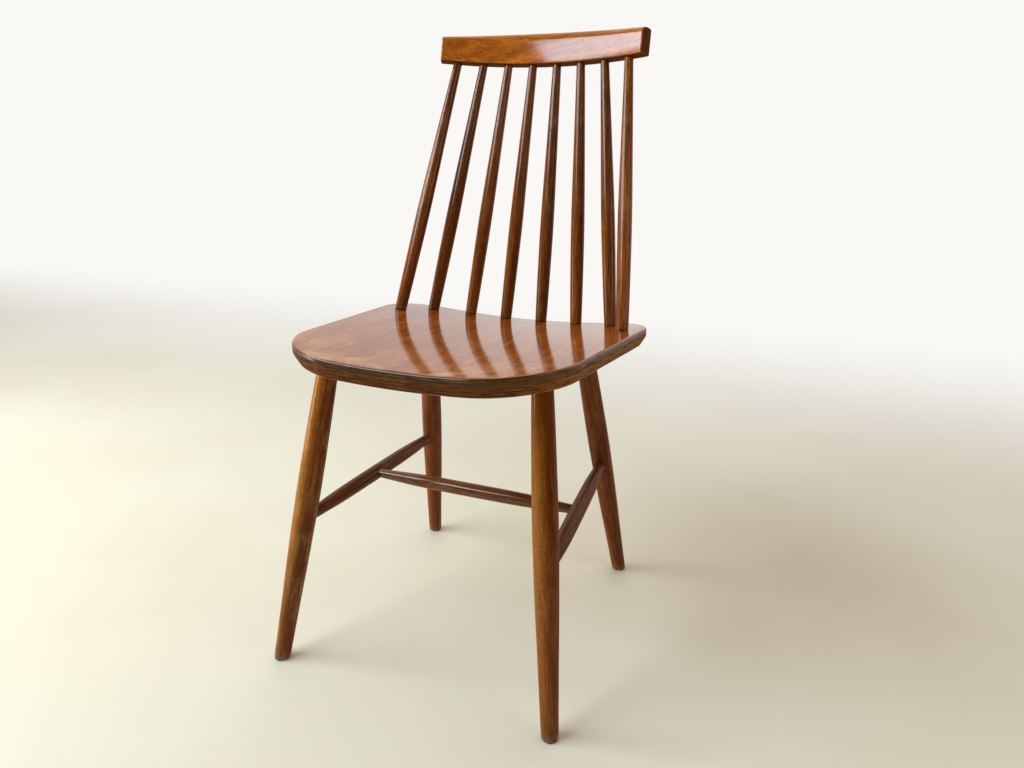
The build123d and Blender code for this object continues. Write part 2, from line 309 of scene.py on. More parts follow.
def slice_of(name, top, bottom):
    """The part of the flat blank between two depths, as a closed sheet."""
    ply = twin(blank, name)
    bpy.ops.object.mode_set(mode="EDIT")
    if top > 0:
        cut((0, 0, -top), (0, 0, 1), use_fill=True, clear_outer=True)
    if bottom < SEAT_THICKNESS:
        cut((0, 0, -bottom), (0, 0, 1), use_fill=True, clear_inner=True)
    for step in range(1, BEND_STEPS):
        across = half_width * (2 * step / BEND_STEPS - 1)
        cut((across, 0, 0), (1, 0, 0))
    tidy_faces()
    return ply


def bend(ply):
    """Bows the rear edge, hollows the sheet from side to side, and tilts it into its place."""
    rear_half = SEAT_REAR_WIDTH / 2
    push(
        ply,
        "Y",
        SEAT_REAR_BOW,
        lambda at: (1 - (at.x / rear_half) ** 2) if at.y > BOW_BEHIND else 0,
    )
    push(ply, "Z", edge_rise, lambda at: sagitta(SEAT_BEND_RADIUS, at.x) / edge_rise)
    place(ply, seat_place)


layers = [("seat_face", "seat_top_veneer", 0, FACE_VENEER)]
for number in range(1, CORE_PLIES + 1):
    top = FACE_VENEER + (number - 1) * CORE_PLY
    layers.append((f"seat_ply_{number}", f"seat_core_ply_{number}", top, top + CORE_PLY))
top = SEAT_THICKNESS - FACE_VENEER
layers.append(("seat_underside", "seat_bottom_veneer", top, SEAT_THICKNESS))

plies = {}
for name, node, top, bottom in layers:
    ply = slice_of(name, top, bottom)
    bend(ply)
    settle(ply, "seat_core" if "ply" in name else "seat_face", node)
    plies[name] = ply
bpy.data.objects.remove(blank, do_unlink=True)

# %% [markdown]
# ## The crest rail
# The crest rail is sawn or steam-bent to an arc, arched along its top and rounded most along its
# upper front edge, where hands and shoulders meet it. It could be a bent cube, but a cube gives
# stretched corners. Here its section is drawn once, with a different round on each corner, and
# spun about the centre of the bend; a mirror makes the other half.


# %% Section and spin
# The section's corners: side along Y, side along Z, radius of the round and its steps
CREST_ROUNDS = ((-1, 1, 0.0130, 14), (1, 1, 0.0040, 6), (-1, -1, 0.0026, 5), (1, -1, 0.0030, 5))
CREST_END_ROUND = 0.0020


def crest_section():
    """The rail's section, standing in the middle plane, thickness along Y and height along Z."""
    bpy.ops.object.select_all(action="DESELECT")
    bpy.ops.mesh.primitive_plane_add(size=1, rotation=(0, math.pi / 2, 0))
    bpy.ops.object.transform_apply(rotation=True)
    piece = start("crest")
    bpy.ops.transform.resize(value=(1, CREST_THICKNESS, CREST_HEIGHT))
    bpy.ops.transform.translate(value=(0, 0, CREST_HEIGHT / 2))
    for y_side, z_side, radius, steps in CREST_ROUNDS:
        target = Vector((0, y_side * CREST_THICKNESS / 2, CREST_HEIGHT / 2 * (1 + z_side)))
        choose(piece, "VERT", lambda part, at: (at[0] - target).length < 0.0005)
        bpy.ops.mesh.bevel(offset=radius, segments=steps, affect="VERTICES")
    return piece


crest = crest_section()
half_angle = math.asin(CREST_SPAN / 2 / CREST_BEND_RADIUS)
bpy.ops.mesh.select_all(action="SELECT")
bpy.ops.mesh.spin(steps=36, angle=half_angle, center=(0, -CREST_BEND_RADIUS, 0), axis=(0, 0, 1))
choose(crest, "FACE", lambda part, at: all(abs(point.x) < 0.00001 for point in at))
bpy.ops.mesh.delete(type="ONLY_FACE")
alone(crest)
other_half = crest.modifiers.new("other half", "MIRROR")
other_half.merge_threshold = 0.00002
bpy.ops.object.modifier_apply(modifier=other_half.name)
print("crest", [round(1000 * side, 1) for side in crest.dimensions])

# %% Arch, ends and place
bpy.ops.object.mode_set(mode="EDIT")
tidy_faces()
end_reach = max(abs(point.co.x) for point in crest.data.vertices)


def on_end_face(part, at):
    """Whether a part of the mesh lies wholly in one of the rail's two end faces."""
    turns = [math.atan2(abs(point.x), point.y + CREST_BEND_RADIUS) for point in at]
    return all(abs(turn - half_angle) < 0.0001 for turn in turns)


choose(crest, "EDGE", on_end_face)
bpy.ops.mesh.bevel(offset=CREST_END_ROUND, segments=5, affect="EDGES")
tidy_faces()
alone(crest)
end_fall = sagitta(CREST_ARCH_RADIUS, end_reach)
push(
    crest,
    "Z",
    -end_fall,
    lambda at: at.z / CREST_HEIGHT * sagitta(CREST_ARCH_RADIUS, at.x) / end_fall,
)
place(crest, crest_place)
settle(crest, "crest", "crest_rail")

# %% [markdown]
# ## Turned pieces
# Legs, spindles and stretchers are turned on a lathe: round everywhere, with a radius that swells
# and thins along the length. A cylinder with a modifier could not follow such a profile. So a disc
# is extruded a little at a time and scaled to the radius of the next station, which is what the
# turner does with a gouge and a pair of calipers.


# %% The lathe
def radius_at(profile, along):
    """A smooth curve through the profile's (distance, radius) points."""
    last = len(profile) - 1
    k = next((i for i in range(last) if along <= profile[i + 1][0]), last - 1)
    around = [profile[min(max(i, 0), last)] for i in (k - 1, k, k + 1, k + 2)]
    (a, ra), (b, rb), (c, rc), (d, rd) = around
    leave = (rc - ra) / (c - a)
    arrive = (rd - rb) / (d - b)
    t = (along - b) / (c - b)
    line = rb + (rc - rb) * t
    bulge = t * (1 - t) * (c - b)
    slope = (rc - rb) / (c - b)
    return line + bulge * ((1 - t) * (leave - slope) - t * (arrive - slope))


def turn(name, profile, rings=30, sides=48):
    """Turns a piece along +Z from a profile of (distance, radius) points."""
    first, last = profile[0][0], profile[-1][0]
    bpy.ops.object.select_all(action="DESELECT")
    here = radius_at(profile, first)
    bpy.ops.mesh.primitive_circle_add(
        vertices=sides, radius=here, fill_type="NGON", location=(0, 0, first)
    )
    bpy.ops.object.transform_apply(location=True)
    piece = start(name)
    step = (last - first) / rings
    for ring in range(1, rings + 1):
        radius = radius_at(profile, first + ring * step)
        bpy.ops.mesh.extrude_region_move(TRANSFORM_OT_translate={"value": (0, 0, step)})
        bpy.ops.transform.resize(value=(radius / here, radius / here, 1))
        here = radius
    tidy_faces()
    alone(piece)
    return piece


def along(start_point, end_point):
    """The matrix that stands a turned piece on start_point, pointing at end_point."""
    turn_to = (end_point - start_point).to_track_quat("Z", "Y")
    return Matrix.Translation(start_point) @ turn_to.to_matrix().to_4x4()


# %% [markdown]
# ## Legs
# A leg is thickest a little above its middle, thinner where it enters the seat and thinnest at the
# floor. It leans two ways, so its foot is cut level only after it is placed, and the rim of the
# foot is taken off so that it doesn't splinter when the chair is dragged.

# %% Legs
LEG_INTO_SEAT = 0.009
LEG_BELOW_FLOOR = 0.02
LEG_TIP_RADIUS = 0.0099
LEG_TOP_RADIUS = 0.0130
FOOT_ROUND = 0.0024
# Share of the leg's length, and radius there
LEG_PROFILE = (
    (0, 0.0107),
    (0.19, 0.0126),
    (0.38, 0.01475),
    (0.60, 0.0160),
    (0.80, 0.0151),
    (1, 0.0133),
)
# Across from the chair's middle, and behind the middle of the seat
LEG_HEADS = {"front": (0.1475, -0.1195), "rear": (0.1265, 0.1120)}


def leg(name, foot, head):
    """A leg from the middle of its foot on the floor to its head on the seat's underside."""
    length = (head - foot).length
    profile = [(share * length, radius) for share, radius in LEG_PROFILE]
    tip = (-LEG_BELOW_FLOOR, LEG_TIP_RADIUS)
    tenon = (length + LEG_INTO_SEAT, LEG_TOP_RADIUS)
    piece = turn(name, [tip, *profile, tenon])
    place(piece, along(foot, head))
    bpy.ops.object.mode_set(mode="EDIT")
    cut((0, 0, 0), (0, 0, 1), use_fill=True, clear_inner=True)
    choose(piece, "EDGE", lambda part, at: level(at, 0))
    bpy.ops.mesh.bevel(offset=FOOT_ROUND, segments=3, affect="EDGES")
    tidy_faces()
    alone(piece)
    return piece


leg_lines = {}
flip = Vector((-1, 1, 1))
for end, (x, y) in LEG_HEADS.items():
    foot = mounts[f"{end}_left_foot"]
    head = on_seat(x, y, SEAT_THICKNESS)
    left = leg(f"leg_{end}_left", foot, head)
    right = mirrored(left, f"leg_{end}_right")
    settle(left, "legs", f"{end}_left_leg")
    settle(right, "legs", f"{end}_right_leg")
    leg_lines[left.name] = (foot, head)
    leg_lines[right.name] = (foot * flip, head * flip)

# %% [markdown]
# ## Stretchers
# Two side stretchers tie each front leg to the leg behind it, and a cross stretcher ties the two
# together, which makes the letter H. Each is thick in the middle and slim at its ends, where it
# goes into its socket. Their ends run on inside the wood they enter.


# %% Stretchers
# inside: where the wood starts; host: radius of the piece it enters
SIDE_RAIL = {"inside": 0.004, "host": 0.0155, "end_radius": 0.0077, "middle_radius": 0.0107}
CROSS_RAIL = {"inside": 0.002, "host": 0.0100, "end_radius": 0.0065, "middle_radius": 0.0101}
RAIL_FRONT_HEIGHT = 0.197
RAIL_REAR_HEIGHT = 0.206
# Share of the free length, and share of the swell there
RAIL_SWELL = ((0, 0), (0.22, 0.82), (0.5, 1), (0.78, 0.82), (1, 0))


def stretcher(name, start_point, end_point, inside, host, end_radius, middle_radius):
    """Slim ends, a quick swell outside the host, and a long gentle middle."""
    length = (end_point - start_point).length
    free = length - 2 * host
    swell = middle_radius - end_radius
    middle = [(host + at * free, end_radius + swell * share) for at, share in RAIL_SWELL]
    profile = [(inside, end_radius), *middle, (length - inside, end_radius)]
    piece = turn(name, profile, rings=28, sides=40)
    place(piece, along(start_point, end_point))
    return piece


def on_leg(name, height):
    """The point of a leg's middle line at this height above the floor."""
    foot, head = leg_lines[name]
    return foot.lerp(head, height / head.z)


rail_lines = {}
for side in ("left", "right"):
    front = on_leg(f"leg_front_{side}", RAIL_FRONT_HEIGHT)
    rear = on_leg(f"leg_rear_{side}", RAIL_REAR_HEIGHT)
    rail = stretcher(f"stretcher_{side}", front, rear, **SIDE_RAIL)
    settle(rail, "stretchers", f"{side}_side_stretcher")
    rail_lines[rail.name] = (front, rear)
middles = [sum(rail_lines[f"stretcher_{side}"], Vector()) / 2 for side in ("right", "left")]
rail = stretcher("stretcher_cross", *middles, **CROSS_RAIL)
settle(rail, "stretchers", "cross_stretcher")
rail_lines[rail.name] = tuple(middles)

# %% [markdown]
# ## Spindles
# Eight spindles fan out from the seat to the crest rail. All come from the same pattern: a firm
# foot, a belly low down where the back bends most, and a slim head. One is turned and the rest
# are copies, each stretched by a hair to its own length before it is placed.

# %% Spindles
# Share of the spindle's length, and radius there
SPINDLE_PROFILE = ((0, 0.0088), (0.15, 0.0097), (0.40, 0.0103), (0.70, 0.0085), (1, 0.0064))
SPINDLE_RUN_IN = 0.006
SPINDLE_TAIL_RADIUS = 0.0086
SPINDLE_TIP_RADIUS = 0.0063
PATTERN_LENGTH = 0.39

profile = [(share * PATTERN_LENGTH, radius) for share, radius in SPINDLE_PROFILE]
tail = (-SPINDLE_RUN_IN, SPINDLE_TAIL_RADIUS)
tip = (PATTERN_LENGTH + SPINDLE_RUN_IN, SPINDLE_TIP_RADIUS)
pattern = turn("spindle_pattern", [tail, *profile, tip], rings=34, sides=40)
spindle_lines = {}
for number in range(1, 9):
    side = -1 if number < 5 else 1
    outwards = 4 - number if number < 5 else number - 5
    x, y = SPINDLE_FEET[outwards]
    foot = on_seat(side * x, y)
    head = on_crest(side * SPINDLE_HEAD_PITCH * (outwards + 0.5))
    spindle = twin(pattern, f"spindle_{number}")
    stretch = Matrix.Scale((head - foot).length / PATTERN_LENGTH, 4, (0, 0, 1))
    place(spindle, along(foot, head) @ stretch)
    settle(spindle, "spindles", f"back_spindle_{number}")
    spindle_lines[spindle.name] = (foot, head)
bpy.data.objects.remove(pattern, do_unlink=True)

# %% [markdown]
# ## Wood, as node groups
# Every piece is wood under a stain and a clear lacquer, so they share two effects. The first is
# the grain: growth rings, streaks and short dark pores, all stretched along the piece. The second
# is use: smudges, specks and thin scratches. Each is built once as a node group that puts out
# plain masks, and each material mixes its own colours with them.


# %% Node helpers
def put(tree, kind, inputs=None, **settings):
    """Adds a node, sets its properties, and links or sets its inputs."""
    node = tree.nodes.new(kind)
    for key, value in settings.items():
        setattr(node, key, value)
    for key, value in (inputs or {}).items():
        if isinstance(value, bpy.types.NodeSocket):
            tree.links.new(value, node.inputs[key])
        else:
            node.inputs[key].default_value = value
    return node


def maths(tree, operation, *values, clamp=False):
    """One step of arithmetic on plain numbers."""
    inputs = dict(enumerate(values))
    return put(tree, "ShaderNodeMath", inputs, operation=operation, use_clamp=clamp).outputs[0]


def vector_maths(tree, operation, *values, out="Vector"):
    """One step of arithmetic on vectors. Dot products and lengths come out at Value."""
    inputs = dict(enumerate(values))
    return put(tree, "ShaderNodeVectorMath", inputs, operation=operation).outputs[out]


def split(tree, vector):
    """The X, Y and Z of a vector."""
    return put(tree, "ShaderNodeSeparateXYZ", {0: vector}).outputs


def coordinate(tree, kind):
    """A place or a normal, in the object's own axes."""
    return put(tree, "ShaderNodeTexCoord").outputs[kind]


def remap(tree, value, low, high, new_low=0.0, new_high=1.0, eased=True):
    """Stretches the range low to high over new_low to new_high, and holds the ends."""
    kind = "SMOOTHSTEP" if eased else "LINEAR"
    inputs = {
        "Value": value,
        "From Min": low,
        "From Max": high,
        "To Min": new_low,
        "To Max": new_high,
    }
    return put(tree, "ShaderNodeMapRange", inputs, interpolation_type=kind).outputs["Result"]


def blend(tree, share, first, second):
    """Mixes two colours. The mix node's colour sockets are its seventh and eighth inputs."""
    node = put(tree, "ShaderNodeMix", data_type="RGBA", blend_type="MIX")
    sockets = (node.inputs[0], node.inputs[6], node.inputs[7])
    for socket, value in zip(sockets, (share, first, second)):
        if isinstance(value, bpy.types.NodeSocket):
            tree.links.new(value, socket)
        elif isinstance(value, (int, float)):
            socket.default_value = value
        else:
            socket.default_value = (*value, 1)
    return node.outputs[2]


def noise(tree, vector, scale, detail=2.0, roughness=0.5, distortion=0.0):
    """Cloudy noise around one half."""
    inputs = {
        "Vector": vector,
        "Scale": scale,
        "Detail": detail,
        "Roughness": roughness,
        "Distortion": distortion,
    }
    return put(tree, "ShaderNodeTexNoise", inputs).outputs["Fac"]


def effect(tree, made, inputs):
    """Places a node group in a material, and returns its masks."""
    return put(tree, "ShaderNodeGroup", inputs, node_tree=made).outputs


def group(name, inputs, outputs):
    """An empty node group with its sockets, and its input and output nodes."""
    tree = bpy.data.node_groups.new(name, "ShaderNodeTree")
    for title, kind, default in inputs:
        socket = tree.interface.new_socket(title, in_out="INPUT", socket_type=kind)
        if default is not None:
            socket.default_value = default
    for title in outputs:
        tree.interface.new_socket(title, in_out="OUTPUT", socket_type="NodeSocketFloat")
    return tree, tree.nodes.new("NodeGroupInput").outputs, tree.nodes.new("NodeGroupOutput").inputs


# %% [markdown]
# ### Grain
# Wood keeps its pattern all through, so the grain is a solid pattern, not a picture wrapped round
# the piece. The piece's length is squeezed to a few hundredths before the noise sees it, which
# draws every spot out into a streak. Rings about a pith that lies well outside the piece give the
# long slow curves of a sawn board.


# %% Grain group
WAVER = 0.012  # how far a line of the grain strays
PITH = (0.045, 0.028, 0)
RING_DRIFT = 0.02  # how much of the length the rings see


def build_grain():
    """Masks for figure, streaks, fibres, pores and growth rings, with Z along the grain."""
    inputs = [
        ("Vector", "NodeSocketVector", None),
        ("Seed", "NodeSocketFloat", 0.0),
        ("Ring Width", "NodeSocketFloat", 0.006),
    ]
    masks = ("Figure", "Streaks", "Fibres", "Pores", "Rings")
    tree, given, out = group("grain", inputs, masks)
    seed = given["Seed"]
    offset = put(tree, "ShaderNodeCombineXYZ", {0: seed, 1: seed, 2: seed}).outputs[0]
    seeded = vector_maths(tree, "ADD", given["Vector"], offset)
    waver = put(tree, "ShaderNodeTexNoise", {"Vector": seeded, "Scale": 9.0, "Detail": 1.0})
    centred = vector_maths(tree, "SUBTRACT", waver.outputs["Color"], (0.5, 0.5, 0.5))
    sway = vector_maths(tree, "MULTIPLY", centred, (WAVER, WAVER, WAVER))
    swayed = vector_maths(tree, "ADD", seeded, sway)

    def streaky(length_share, scale, detail, roughness, distortion=0.0):
        """Noise whose spots are drawn out along the grain."""
        squeezed = vector_maths(tree, "MULTIPLY", swayed, (1, 1, length_share))
        return noise(tree, squeezed, scale, detail, roughness, distortion)

    figure = streaky(0.10, 55.0, 3.0, 0.55, 0.4)
    streaks = streaky(0.022, 330.0, 5.0, 0.62, 0.2)
    fibres = streaky(0.030, 900.0, 3.0, 0.6)
    pores = streaky(0.040, 800.0, 2.0, 0.5)
    from_pith = vector_maths(tree, "ADD", given["Vector"], PITH)
    from_pith = vector_maths(tree, "ADD", from_pith, sway)
    flat = vector_maths(tree, "MULTIPLY", from_pith, (1, 1, RING_DRIFT))
    distance = vector_maths(tree, "LENGTH", flat, out="Value")
    turns = maths(tree, "DIVIDE", distance, given["Ring Width"])
    turns = maths(tree, "ADD", turns, maths(tree, "MULTIPLY", figure, 1.3))
    ring = maths(tree, "FRACT", turns)
    darkening = remap(tree, ring, 0.0, 0.75)
    new_spring = remap(tree, ring, 0.86, 1.0, 1.0, 0.0)
    tree.links.new(remap(tree, figure, 0.3, 0.7), out["Figure"])
    tree.links.new(remap(tree, streaks, 0.32, 0.68, eased=False), out["Streaks"])
    tree.links.new(remap(tree, fibres, 0.36, 0.62, eased=False), out["Fibres"])
    tree.links.new(remap(tree, pores, 0.62, 0.69), out["Pores"])
    tree.links.new(maths(tree, "MULTIPLY", darkening, new_spring), out["Rings"])
    return tree


grain = build_grain()
print("grain group", len(grain.nodes), "nodes")

# %% [markdown]
# ### Use
# Decades of sitting and wiping leave a lacquer uneven: greasy smudges that blur it, pale specks
# where it has chipped, and thin scratches. All three come from noises at very different sizes.


# %% Use group
SCRATCH_WIDTH = 0.009  # in levels of the noise, either side of one half


def build_use():
    """Masks for smudges, chipped specks, thin scratches and worn patches."""
    masks = ("Smudge", "Specks", "Scratches", "Patches")
    tree, given, out = group("use", [("Vector", "NodeSocketVector", None)], masks)
    vector = given["Vector"]
    smudge = noise(tree, vector, 14.0, 4.0, 0.6, 0.6)
    specks = noise(tree, vector, 420.0, 3.0, 0.6)
    longer = vector_maths(tree, "MULTIPLY", vector, (1, 1, 0.3))
    patches = noise(tree, longer, 62.0, 6.0, 0.7, 0.3)
    tree.links.new(remap(tree, smudge, 0.35, 0.7), out["Smudge"])
    tree.links.new(remap(tree, specks, 0.69, 0.74), out["Specks"])
    tree.links.new(remap(tree, patches, 0.46, 0.66), out["Patches"])
    lengthwise = vector_maths(tree, "MULTIPLY", vector, (1, 1, 0.05))
    line = noise(tree, lengthwise, 190.0, 1.0, 0.5, 1.2)
    off_line = maths(tree, "ABSOLUTE", maths(tree, "SUBTRACT", line, 0.5))
    thin = remap(tree, off_line, 0.0, SCRATCH_WIDTH, 1.0, 0.0)
    where = remap(tree, noise(tree, vector, 30.0), 0.52, 0.62)
    tree.links.new(maths(tree, "MULTIPLY", thin, where), out["Scratches"])
    return tree


use = build_use()
print("use group", len(use.nodes), "nodes")


# %% [markdown]
# ## Lacquered wood
# One function makes the finish of every piece, with that piece's own colours, seed and direction.
# Dark stain sits in the pores and between the rings, and worn places go golden where the stain has
# rubbed away. The clear coat is a layer of its own above the wood, so the wood's colour stays deep
# and the reflections stay pale.


# %% Parts of a finish
def tone(colour, share):
    """The same colour, darker or lighter."""
    return tuple(part * share for part in colour)


def own_place(tree, matrix):
    """Object coordinates turned to the piece's own frame, with Z along its grain."""
    where, turned, _ = matrix.decompose()
    inputs = {
        "Vector": coordinate(tree, "Object"),
        "Location": where,
        "Rotation": turned.to_euler(),
    }
    return put(tree, "ShaderNodeMapping", inputs, vector_type="TEXTURE").outputs["Vector"]


def new_material(name):
    """A material, its node tree and its shader."""
    material = bpy.data.materials.new(name)
    material.use_nodes = True
    tree = material.node_tree
    return material, tree, tree.nodes["Principled BSDF"]


def repaint(tree, share, colour):
    """Lays one more colour over all that feeds the base colour so far."""
    socket = tree.nodes["Principled BSDF"].inputs["Base Color"]
    below = socket.links[0].from_socket
    tree.links.new(blend(tree, share, below, colour), socket)


def emboss(tree, height, strength):
    """Raises and sinks the surface by fractions of a millimetre."""
    bump = put(tree, "ShaderNodeBump", {"Height": height, "Strength": strength, "Distance": 0.0003})
    tree.links.new(bump.outputs[0], tree.nodes["Principled BSDF"].inputs["Normal"])


def dress(piece, material):
    """Gives a piece this material only."""
    piece.data.materials.clear()
    piece.data.materials.append(material)


# %% The finish itself
STREAK_SHARE = 0.8
FIGURE_SHARE = 0.5
PORE_SHARE = 0.75
END_GRAIN_SHARE = 0.9
END_COAT_SHARE = 0.15


def lacquered(
    name,
    matrix,
    seed,
    dark,
    mid,
    light,
    worn,
    wear,
    ring_width=0.006,
    rings=0.55,
    fibres=0.6,
    coat=0.36,
    gloss=0.13,
):
    """Stained wood under clear lacquer. Returns the material, its tree and its own place."""
    material, tree, shader = new_material(name)
    vector = own_place(tree, matrix)
    wood = effect(tree, grain, {"Vector": vector, "Seed": seed, "Ring Width": ring_width})
    marks = effect(tree, use, {"Vector": vector})
    colour = blend(tree, maths(tree, "MULTIPLY", wood["Rings"], rings), mid, dark)
    colour = blend(tree, maths(tree, "MULTIPLY", wood["Streaks"], STREAK_SHARE), colour, light)
    colour = blend(tree, maths(tree, "MULTIPLY", wood["Figure"], FIGURE_SHARE), colour, dark)
    along_streaks = maths(tree, "MULTIPLY_ADD", wood["Streaks"], 0.9, 0.15)
    rubbed = maths(tree, "MULTIPLY", marks["Patches"], along_streaks)
    colour = blend(tree, maths(tree, "MULTIPLY", rubbed, wear, clamp=True), colour, worn)
    fibrous = maths(tree, "MULTIPLY", wood["Fibres"], fibres)
    colour = blend(tree, fibrous, colour, tone(dark, 0.8))
    colour = blend(tree, maths(tree, "MULTIPLY", marks["Specks"], 0.6 * wear), colour, worn)
    pitted = maths(tree, "MULTIPLY", wood["Pores"], PORE_SHARE)
    colour = blend(tree, pitted, colour, tone(dark, 0.25))
    tree.links.new(colour, shader.inputs["Base Color"])

    along_grain = matrix.to_3x3() @ Vector((0, 0, 1))
    normal = coordinate(tree, "Normal")
    facing = vector_maths(tree, "DOT_PRODUCT", normal, along_grain, out="Value")
    end_grain = remap(tree, maths(tree, "ABSOLUTE", facing), 0.62, 0.88)
    repaint(tree, maths(tree, "MULTIPLY", end_grain, END_GRAIN_SHARE), tone(dark, 0.45))

    roughness = remap(tree, marks["Smudge"], 0, 1, 0.36, 0.54)
    tree.links.new(roughness, shader.inputs["Roughness"])
    clear = remap(tree, end_grain, 0, 1, coat, END_COAT_SHARE * coat)
    tree.links.new(clear, shader.inputs["Coat Weight"])
    shader.inputs["Coat Roughness"].default_value = gloss
    shader.inputs["Specular IOR Level"].default_value = 0.0
    relief = maths(tree, "MULTIPLY", wood["Pores"], -0.5)
    relief = maths(tree, "ADD", relief, maths(tree, "MULTIPLY", marks["Smudge"], 0.3))
    emboss(tree, relief, 0.15)
    return material, tree, vector


# %% [markdown]
# ### Marks of age and painted light on the turned pieces
# Three things tell an old chair from a new one: a dark line of glue and polish round each joint,
# bare scraped wood at the feet, and legs rubbed pale on the side where shins and shoes pass. That
# pale side faces the window lamp, and its paleness is partly painted light. Each is laid over a
# finish that is already there; the joints and feet where they would form on the real chair.


# %% Joints, feet, and painted light on the legs' sides
def darken_joints(tree, vector, length, dark, full=0.0004, gone=0.0016):
    """Old glue and polish that sit in the corner round each end of a piece of this length."""
    height = split(tree, vector)["Z"]
    low = remap(tree, height, full, gone, 0.6, 0.0)
    high = remap(tree, height, length - gone, length - full, 0.0, 0.6)
    repaint(tree, maths(tree, "MAXIMUM", low, high), tone(dark, 0.15))


def scuff_foot(tree, worn, scuff_height=0.014):
    """Bare scraped wood round the rim of a foot, fading out a finger's width above the floor."""
    where = coordinate(tree, "Object")
    near = remap(tree, split(tree, where)["Z"], 0.0, scuff_height, 1.0, 0.0)
    ragged = remap(tree, noise(tree, where, 240.0, 4.0, 0.65), 0.42, 0.62)
    ragged = maths(tree, "MULTIPLY_ADD", ragged, 0.9, 0.15)
    repaint(tree, maths(tree, "MULTIPLY", near, ragged, clamp=True), worn)


def rub_and_light_side(tree, towards, colour, share):
    """Paler specks on the side of a piece that faces one way: rubbed polish and painted light."""
    where = coordinate(tree, "Object")
    normal = coordinate(tree, "Normal")
    facing = vector_maths(tree, "DOT_PRODUCT", normal, towards, out="Value")
    side = remap(tree, facing, -0.1, 0.9, 0.0, share)
    speckle = remap(tree, noise(tree, where, 330.0, 5.0, 0.7), 0.35, 0.60, 0.45, 1.0)
    higher = remap(tree, split(tree, where)["Z"], 0.02, 0.26, 0.35, 1.0)
    speckle = maths(tree, "MULTIPLY", speckle, higher)
    repaint(tree, maths(tree, "MULTIPLY", side, speckle), colour)


# %% Finish of the spindles
BARE_WOOD = (0.42, 0.19, 0.045)
SPINDLE_WOOD = {
    "dark": (0.055, 0.014, 0.004),
    "mid": (0.225, 0.047, 0.003),
    "light": (0.430, 0.112, 0.009),
}
SPINDLE_TONES = (1.15, 0.92, 1.2, 1.1, 0.9, 1.25, 0.95, 1.45)
SPINDLE_WEAR = (0.45, 0.2, 0.6, 0.3, 0.8, 0.4, 0.5, 0.9)

for number, (share, wear) in enumerate(zip(SPINDLE_TONES, SPINDLE_WEAR), start=1):
    name = f"spindle_{number}"
    foot, head = spindle_lines[name]
    wood = {part: tone(colour, share) for part, colour in SPINDLE_WOOD.items()}
    finish, tree, vector = lacquered(
        f"{name}_wood",
        along(foot, head),
        seed=0.37 * number,
        worn=BARE_WOOD,
        wear=wear,
        coat=0.45,
        **wood,
    )
    darken_joints(tree, vector, (head - foot).length, wood["dark"])
    dress(bpy.data.objects[name], finish)
print("spindles finished")

# %% Finish of the legs
LEG_WOOD = {
    "dark": (0.048, 0.010, 0.001),
    "mid": (0.195, 0.040, 0.002),
    "light": (0.400, 0.102, 0.006),
}
LEG_WEAR = {
    "leg_front_right": 1.2,
    "leg_front_left": 0.3,
    "leg_rear_right": 0.3,
    "leg_rear_left": 0.4,
}
# Painted light: two front legs are made paler, in specks like rubbed polish, on the side facing the
# window lamp
LIT_RUBBED_LEGS = {"leg_front_right": 0.6, "leg_front_left": 0.4}
LIT_RUBBED_TOWARDS = Vector((-0.8, -0.6, 0))
LIT_RUBBED_WOOD = (0.50, 0.185, 0.024)
SCRAPED_WOOD = (0.26, 0.17, 0.11)

for count, (name, (foot, head)) in enumerate(leg_lines.items()):
    finish, tree, vector = lacquered(
        f"{name}_wood",
        along(foot, head),
        seed=1.3 + 0.71 * count,
        worn=BARE_WOOD,
        wear=LEG_WEAR[name],
        ring_width=0.0075,
        rings=0.4,
        fibres=0.5,
        **LEG_WOOD,
    )
    # Painted light and rubbed polish on the side that faces the window lamp
    if name in LIT_RUBBED_LEGS:
        rub_and_light_side(tree, LIT_RUBBED_TOWARDS, LIT_RUBBED_WOOD, LIT_RUBBED_LEGS[name])
    scuff_foot(tree, SCRAPED_WOOD)
    dress(bpy.data.objects[name], finish)
print("legs finished")

# %% Finish of the stretchers
RAIL_WOOD = {
    "dark": (0.055, 0.016, 0.006),
    "mid": (0.170, 0.048, 0.010),
    "light": (0.300, 0.105, 0.024),
    "worn": (0.38, 0.18, 0.05),
}
RAIL_COAT = {"stretcher_left": 0.22, "stretcher_right": 0.3, "stretcher_cross": 0.65}

for count, (name, (first, last)) in enumerate(rail_lines.items()):
    finish, tree, vector = lacquered(
        f"{name}_wood",
        along(first, last),
        seed=4.1 + 0.53 * count,
        wear=0.3,
        rings=0.4,
        coat=RAIL_COAT[name],
        **RAIL_WOOD,
    )
    dress(bpy.data.objects[name], finish)
print("stretchers finished")

# %% [markdown]
# ### Crest rail
# The crest rail is the palest and glossiest piece, because hands polish it. Its board was sawn at
# a slant to the growth rings, so the grain is turned by a few degrees from the rail's length. Its
# underside never saw a cloth and has no clear coat; it is painted dark, as old polish and painted
# shade.

# %% Finish of the crest rail
CREST_WOOD = {
    "dark": (0.220, 0.042, 0.003),
    "mid": (0.620, 0.138, 0.006),
    "light": (0.780, 0.225, 0.014),
    "worn": (0.76, 0.30, 0.04),
}
# Painted shade and old polish for the rail's underside
CREST_UNDERSIDE_SHADE = (0.075, 0.020, 0.010)
BOARD_SLANT = math.radians(81)

board = Matrix.Translation(crest_origin) @ Euler((0, BOARD_SLANT, 0)).to_matrix().to_4x4()
finish, tree, vector = lacquered(
    "crest_wood",
    board,
    seed=2.2,
    wear=0.25,
    ring_width=0.013,
    rings=0.8,
    fibres=0.4,
    coat=0.8,
    gloss=0.14,
    **CREST_WOOD,
)
